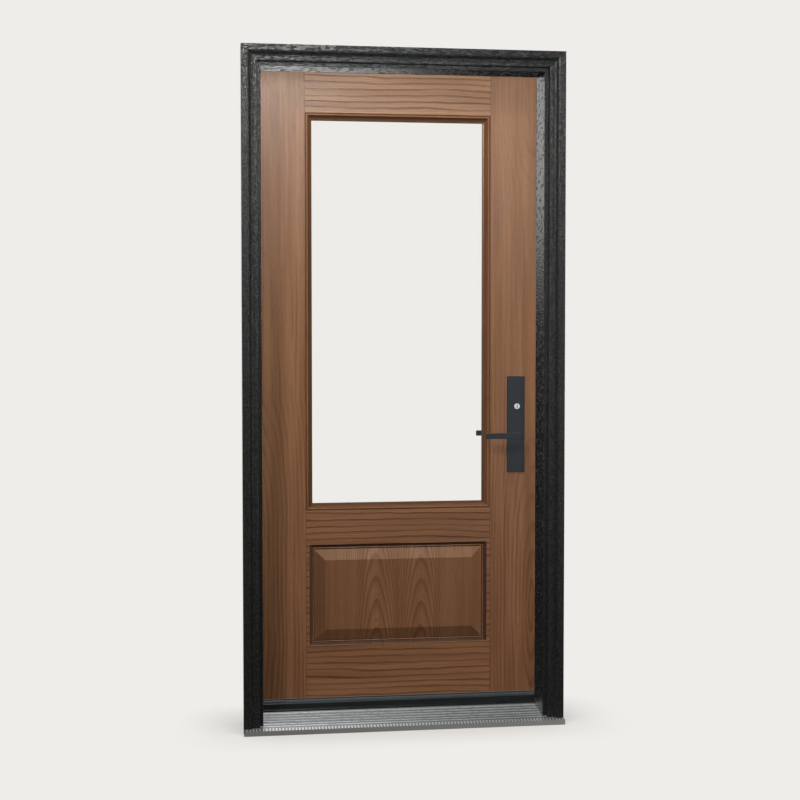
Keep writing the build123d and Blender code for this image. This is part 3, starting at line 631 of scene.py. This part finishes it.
def glass_material(name):
    """Clear glass: light goes straight through, with a faint reflection and smudges."""
    material = bpy.data.materials.new(name)
    tree = Tree(material, "ShaderNodeOutputMaterial")
    smudges = tree.span(tree.even_noise(9, detail=4, roughness=0.5), 0.0, 1.0, 0.02, 0.10)
    clear = tree.shader("BsdfTransparent", Color=(1, 1, 1, 1))
    shine = tree.shader("BsdfGlossy", Roughness=smudges)
    share = tree.math("MINIMUM", tree.shader("Fresnel", IOR=1.12), 0.04)
    tree.show(tree.mixed(share, clear, shine))
    return material


# Each finish as the function that makes it and what that function needs besides the name
FINISHES = {
    "leaf_wood": (leaf_material,),
    "moulding_wood": (moulding_material,),
    "paint_upright": (paint_material, "z"),
    "paint_level": (paint_material, "x"),
    "sill_metal": (ribbed_metal_material,),
    "sill_composite": (plain_material, (0.035, 0.034, 0.033), 0.6, 700, 0.0004),
    "threshold_plastic": (plain_material, (0.012, 0.0135, 0.014), 0.32, 1500, 0.0001),
    "cap_plastic": (plain_material, (0.064, 0.072, 0.078), 0.55, 1500, 0.0001),
    "sweep_plastic": (carrier_material,),
    "seal_rubber": (plain_material, (0.014, 0.014, 0.014), 0.6, 1300, 0.0002),
    "core_timber": (timber_material,),
    "core_foam": (plain_material, (0.75, 0.68, 0.48), 0.8, 420, 0.0008, 0.6),
    "clear_glass": (glass_material,),
    "spacer_metal": (brushed_material, (0.16, 0.075, 0.045), 0.5),
    "cylinder_metal": (cylinder_material,),
    "black_metal": (plain_material, (0.020, 0.025, 0.032), 0.42, 1900, 0.00008, 0.25),
    "silver_metal": (brushed_material, (0.72, 0.72, 0.73), 0.3),
}
finish_named = {name: make(name, *values) for name, (make, *values) in FINISHES.items()}
HINGES = ("bottom_hinge", "middle_hinge", "top_hinge")
PIECES_OF = {
    "leaf_wood": ("exterior_skin", "interior_skin"),
    "moulding_wood": ("exterior_light_frame", "interior_light_frame"),
    "paint_upright": ("hinge_jamb", "strike_jamb", "casing_left", "casing_right"),
    "paint_level": ("head_jamb", "casing_head"),
    "sill_metal": ("sill_deck",),
    "sill_composite": ("sill_core",),
    "threshold_plastic": ("threshold_riser",),
    "cap_plastic": ("threshold_cap",),
    "sweep_plastic": ("sweep_carrier",),
    "seal_rubber": ("door_sweep", "hinge_side_seal", "strike_side_seal", "head_seal"),
    "core_timber": ("hinge_stile", "lock_stile", "bottom_rail", "top_rail"),
    "core_foam": ("foam_core",),
    "clear_glass": ("outer_pane", "inner_pane"),
    "spacer_metal": ("glass_spacer",),
    "cylinder_metal": ("key_cylinder",),
    "black_metal": (
        "exterior_handle_plate", "interior_handle_plate", "exterior_lever", "interior_lever", "thumbturn",
        *(hinge + part for hinge in HINGES for part in ("_frame_leaf", "_door_leaf", "_pin")),
    ),
    "silver_metal": (
        "lever_spindle", "lock_faceplate", "latch_bolt", "deadbolt", "latch_strike_plate",
        "deadbolt_strike_plate",
    ),
}
finish_of = {piece: finish for finish, pieces in PIECES_OF.items() for piece in pieces}
for name, node in nodes.items():
    node.data.materials.clear()
    node.data.materials.append(finish_named[finish_of[name]])

# Cross-headed screws. A head's rings are (radius, height over its seat)
HEAD_RINGS = ((0.0036, -0.0001), (0.0035, 0.00015), (0.0032, 0.0003), (0.0026, 0.0004))
CROSS_TOP = 0.00045
CROSS_FLOOR = 0.00005
CROSS_HALF = 0.0005
CROSS_REACH = 0.0019
SEARCH_START = 0.004
SEARCH_LENGTH = 0.03
# Places of the screws on their plates: (height from a hinge's middle, depth), and insets from the ends
HINGE_SCREWS = ((-0.039, 0.010), (-0.013, 0.024), (0.013, 0.010), (0.039, 0.024))
STRIKE_INSET = 0.0075
FACEPLATE_INSET = 0.010
PLATE_INSET = 0.018
STAND_OFF = 0.002


def cross_outline(angle):
    """How far the cross in a screw's head reaches at an angle."""
    across = max(abs(math.cos(angle)), 1e-6)
    up = max(abs(math.sin(angle)), 1e-6)
    upright = min(CROSS_HALF / across, CROSS_REACH / up)
    return max(upright, min(CROSS_REACH / across, CROSS_HALF / up))


def add_screw(mesh, seat, normal, turn):
    """One screw head in a mesh, on a seat, with its cross turned as a fitter leaves it."""
    corner = math.atan2(CROSS_HALF, CROSS_REACH)
    quarter = (0.0, corner, math.pi / 6, math.pi / 4, math.pi / 3, math.pi / 2 - corner)
    angles = [start * math.pi / 2 + step for start in range(4) for step in quarter]
    facing = normal.to_track_quat("Z", "Y")
    rings = [[(radius, height)] * len(angles) for radius, height in HEAD_RINGS]
    rings.append([(cross_outline(angle), CROSS_TOP) for angle in angles])
    rings.append([(cross_outline(angle), CROSS_FLOOR) for angle in angles])
    made = []
    for ring in rings:
        points = []
        for angle, (radius, height) in zip(angles, ring):
            spot = Vector((radius * math.cos(angle + turn), radius * math.sin(angle + turn), height))
            points.append(mesh.verts.new(seat + facing @ spot))
        made.append(points)
    for low, high in zip(made, made[1:]):
        for index in range(len(angles)):
            after = (index + 1) % len(angles)
            mesh.faces.new((low[index], low[after], high[after], high[index]))
    mesh.faces.new(made[-1])


def make_screws(name, body, slot, places, towards):
    """A joined mesh of screws: each place is (node, point), and the point is dropped onto the node."""
    mesh = bmesh.new()
    towards = Vector(towards)
    for node, point in places:
        start = Vector(point) - SEARCH_START * towards
        hit, seat, normal, _ = nodes[node].ray_cast(start, towards, distance=SEARCH_LENGTH)
        if hit:
            add_screw(mesh, seat, normal, random.uniform(0, math.pi / 2))
    data = bpy.data.meshes.new(name)
    mesh.to_mesh(data)
    mesh.free()
    screws = bpy.data.objects.new(name, data)
    bpy.context.scene.collection.objects.link(screws)
    data.materials.append(finish_named[slot])
    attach(screws, body)
    screws.visible_glossy = False
    lit_pieces.objects.link(screws)


def hinge_places(part):
    """The screw places on all hinges' frame leaves or door leaves, which share one pattern."""
    places = []
    for hinge in HINGES:
        low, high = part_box(hinge + "_frame_leaf")
        middle = (low.z + high.z) / 2
        places += [(hinge + part, (GAP_MIDDLE, low.y + back, middle + rise)) for rise, back in HINGE_SCREWS]
    return places


def end_heights(node, inset):
    """Two heights on a node, so far in from its ends."""
    low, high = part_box(node)
    return low.z + inset, high.z - inset


lit_pieces = bpy.data.collections.new("lit_pieces")
make_screws("frame_hinge_screws", "frame", "black_metal", hinge_places("_frame_leaf"), (-1, 0, 0))
make_screws("leaf_hinge_screws", "door_leaf", "black_metal", hinge_places("_door_leaf"), (1, 0, 0))
strike_places = [
    (strike, (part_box(strike)[0].x - STAND_OFF, LEAF_MIDDLE, z))
    for strike in ("latch_strike_plate", "deadbolt_strike_plate")
    for z in end_heights(strike, STRIKE_INSET)
]
make_screws("strike_screws", "frame", "silver_metal", strike_places, (1, 0, 0))
faceplate_places = [
    ("lock_faceplate", (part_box("lock_faceplate")[1].x + STAND_OFF, LEAF_MIDDLE, z))
    for z in end_heights("lock_faceplate", FACEPLATE_INSET)
]
make_screws("faceplate_screws", "door_leaf", "silver_metal", faceplate_places, (-1, 0, 0))
plate_low, plate_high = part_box("interior_handle_plate")
plate_places = [
    ("interior_handle_plate", ((plate_low.x + plate_high.x) / 2, plate_high.y + STAND_OFF, z))
    for z in end_heights("interior_handle_plate", PLATE_INSET)
]
make_screws("inside_plate_screws", "door_leaf", "black_metal", plate_places, (0, -1, 0))

# The frame, its reveal and the deck are shown without the leaf's reflection, as in the photo
FRAME_PIECES = (
    "hinge_jamb", "strike_jamb", "head_jamb", "casing_left", "casing_right", "casing_head",
    "sill_deck", "sill_core",
)
for name, node in nodes.items():
    if name not in FRAME_PIECES:
        node.visible_glossy = False

# Studio: a pale floor that fades into the background, and soft lamps
BACKGROUND = (0.863, 0.847, 0.815, 1)
FLOOR_RADIUS = 14
FLOOR_DROP = 0.0005
FLOOR_GLOW = 0.35
FLOOR_FADE = 0.24
AMBIENT = 0.02

# The walls that shiny pieces reflect, as ramps along a reflection's direction
BEHIND = (-0.05, 0.15)
UPPER_WALL_FOOT = (0.015, 0.085)
UPPER_WALL_RIGHT = (0.09, 0.165, 1.75, 0.0)
UPPER_WALL_LEFT = (-0.10, 0.0, 0.70, 1.0)
LOWER_WALL_TOP = (-0.03, 0.09, 1.0, 0.0)
LOWER_WALL_LEFT = (-0.03, 0.03)
LOWER_WALL_RIGHT = (0.08, 0.19, 1.3, 0.0)


def make_floor():
    """The floor glows like the background, apart from the soft shadow close round the sill."""
    bpy.ops.mesh.primitive_circle_add(
        vertices=96, radius=FLOOR_RADIUS, fill_type="NGON", location=(0, 0, -FLOOR_DROP)
    )
    floor = bpy.context.object
    floor.name = "studio_floor"
    material = bpy.data.materials.new("studio_floor")
    tree = Tree(material, "ShaderNodeOutputMaterial")
    beside = tree.math("MAXIMUM", tree.less(tree.math("ABSOLUTE", tree.x), SILL_HALF), 0.0)
    ahead = tree.math("MAXIMUM", tree.less(tree.off(tree.y, SILL_MIDDLE), SILL_HALF_DEPTH), 0.0)
    share = tree.span(tree.diagonal(beside, ahead), 0.0, FLOOR_FADE, FLOOR_GLOW, 1.0, smooth=True)
    matte = tree.shader("BsdfDiffuse", Color=BACKGROUND)
    glow = tree.shader("Emission", Color=BACKGROUND)
    tree.show(tree.mixed(share, matte, glow))
    floor.data.materials.append(material)
    floor.visible_glossy = False
    floor.visible_diffuse = False
    return floor


def make_world():
    """The camera sees the plain background, and shiny pieces see bright, soft walls behind the door."""
    world = bpy.data.worlds.new("studio")
    bpy.context.scene.world = world
    tree = Tree(world, "ShaderNodeOutputWorld", "Generated")
    world.cycles.sampling_method = "NONE"
    path = tree.nodes.new("ShaderNodeLightPath")
    behind = tree.span(tree.y, *BEHIND, smooth=True)
    upper = tree.span(tree.z, *UPPER_WALL_FOOT, smooth=True)
    upper = tree.times(upper, tree.span(tree.x, *UPPER_WALL_RIGHT, smooth=True))
    upper = tree.times(upper, tree.span(tree.x, *UPPER_WALL_LEFT, smooth=True))
    lower = tree.span(tree.z, *LOWER_WALL_TOP, smooth=True)
    lower = tree.times(lower, tree.span(tree.x, *LOWER_WALL_LEFT, smooth=True))
    lower = tree.times(lower, tree.span(tree.x, *LOWER_WALL_RIGHT, smooth=True))
    walls = tree.times(tree.times(tree.add(upper, lower), behind), path.outputs["Is Glossy Ray"])
    unseen = tree.shader("Background", Strength=tree.add(walls, AMBIENT))
    seen = tree.shader("Background", Color=BACKGROUND)
    tree.show(tree.mixed(path.outputs["Is Camera Ray"], unseen, seen))


floor = make_floor()
make_world()


def collection(name, pieces):
    made = bpy.data.collections.new(name)
    for piece in pieces:
        made.objects.link(piece)
    return made


OUTSIDE_PIECES = (
    "head_jamb", "strike_jamb", "sill_deck", "casing_head", "casing_left", "casing_right", "key_cylinder",
    "threshold_cap", "threshold_riser", "exterior_skin", "exterior_light_frame", "exterior_handle_plate",
    "exterior_lever",
)
for name, node in nodes.items():
    if name not in PIECES_OF["clear_glass"]:
        lit_pieces.objects.link(node)
floor_only = collection("floor_only", [floor])
side_casings = collection("side_casings", [nodes["casing_left"], nodes["casing_right"]])
inside_pieces = collection(
    "inside_pieces", [piece for piece in lit_pieces.objects if piece.name not in OUTSIDE_PIECES]
)


def lamp(name, place, power, radius, colour=(1, 0.98, 0.93), receivers=lit_pieces, shadow=False):
    """A soft bulb. Those before the front cast no shadow, as the photo has only the key light's."""
    data = bpy.data.lights.new(name, "POINT")
    data.energy = power * 4 * math.pi
    data.color = colour
    data.shadow_soft_size = radius
    data.use_shadow = shadow
    light = bpy.data.objects.new(name, data)
    light.location = place
    bpy.context.scene.collection.objects.link(light)
    light.visible_camera = False
    light.light_linking.receiver_collection = receivers


def sun(name, towards, strength, spread, receivers):
    data = bpy.data.lights.new(name, "SUN")
    data.energy = strength
    data.angle = math.radians(spread)
    light = bpy.data.objects.new(name, data)
    light.rotation_euler = Vector(towards).to_track_quat("Z", "Y").to_euler()
    bpy.context.scene.collection.objects.link(light)
    light.light_linking.receiver_collection = receivers


sun("key_light", (-0.442, -0.680, 0.585), 0.69, 8, lit_pieces)
lamp("upper_left_lamp", (-0.35, -1.08, 2.29), 3.8, 0.25, (0.89, 0.98, 1.0))
lamp("lower_right_lamp", (1.05, -1.96, 0.70), 0.95, 0.3)
lamp("upper_right_lamp", (0.42, -1.92, 2.02), 3.3, 0.3, (0.80, 0.93, 0.98))
lamp("right_casing_lamp", (0.98, -1.96, 2.25), 1.9, 0.2, (1, 0.98, 0.97), side_casings)
lamp("left_casing_lamp", (-0.36, -2.00, 2.40), 1.4, 0.2, (1, 0.98, 0.97), side_casings)
lamp("side_lamp", (2.20, -1.50, 1.90), 2.2, 0.25, (1, 1, 1))

# Inside, above and round the sides, where the photo doesn't look, lamps cast shadows
lamp("inside_left_lamp", (-1.15, 2.45, 2.35), 9.0, 0.4, (1, 0.97, 0.93), inside_pieces, True)
lamp("inside_right_lamp", (1.25, 2.60, 1.45), 5.0, 0.4, (1, 0.99, 0.97), inside_pieces, True)
lamp("left_end_lamp", (-2.60, 1.20, 1.70), 6.0, 0.4, shadow=True)
lamp("right_end_lamp", (2.60, 1.20, 1.70), 6.0, 0.4, shadow=True)
lamp("top_lamp", (0.0, 0.25, 4.10), 5.0, 0.4, shadow=True)
sun("floor_light", (-0.04, -0.25, 1), math.pi, 100, floor_only)

# The camera at the photo's place, turned down, rolled and turned to the right, in degrees
CAMERA_PLACE = (-0.77306, -4.94003, 1.25377)
CAMERA_DOWN = 2.63
CAMERA_ROLL = 0.02
CAMERA_RIGHT = 8.73
camera_data = bpy.data.cameras.new("photo_camera")
camera_data.sensor_width = 36
camera_data.lens = 72.543
camera = bpy.data.objects.new("photo_camera", camera_data)
camera.location = CAMERA_PLACE
camera.rotation_euler = [math.radians(turn) for turn in (90 - CAMERA_DOWN, CAMERA_ROLL, -CAMERA_RIGHT)]
bpy.context.scene.collection.objects.link(camera)
bpy.context.scene.camera = camera
bpy.context.scene.view_settings.view_transform = "Standard"
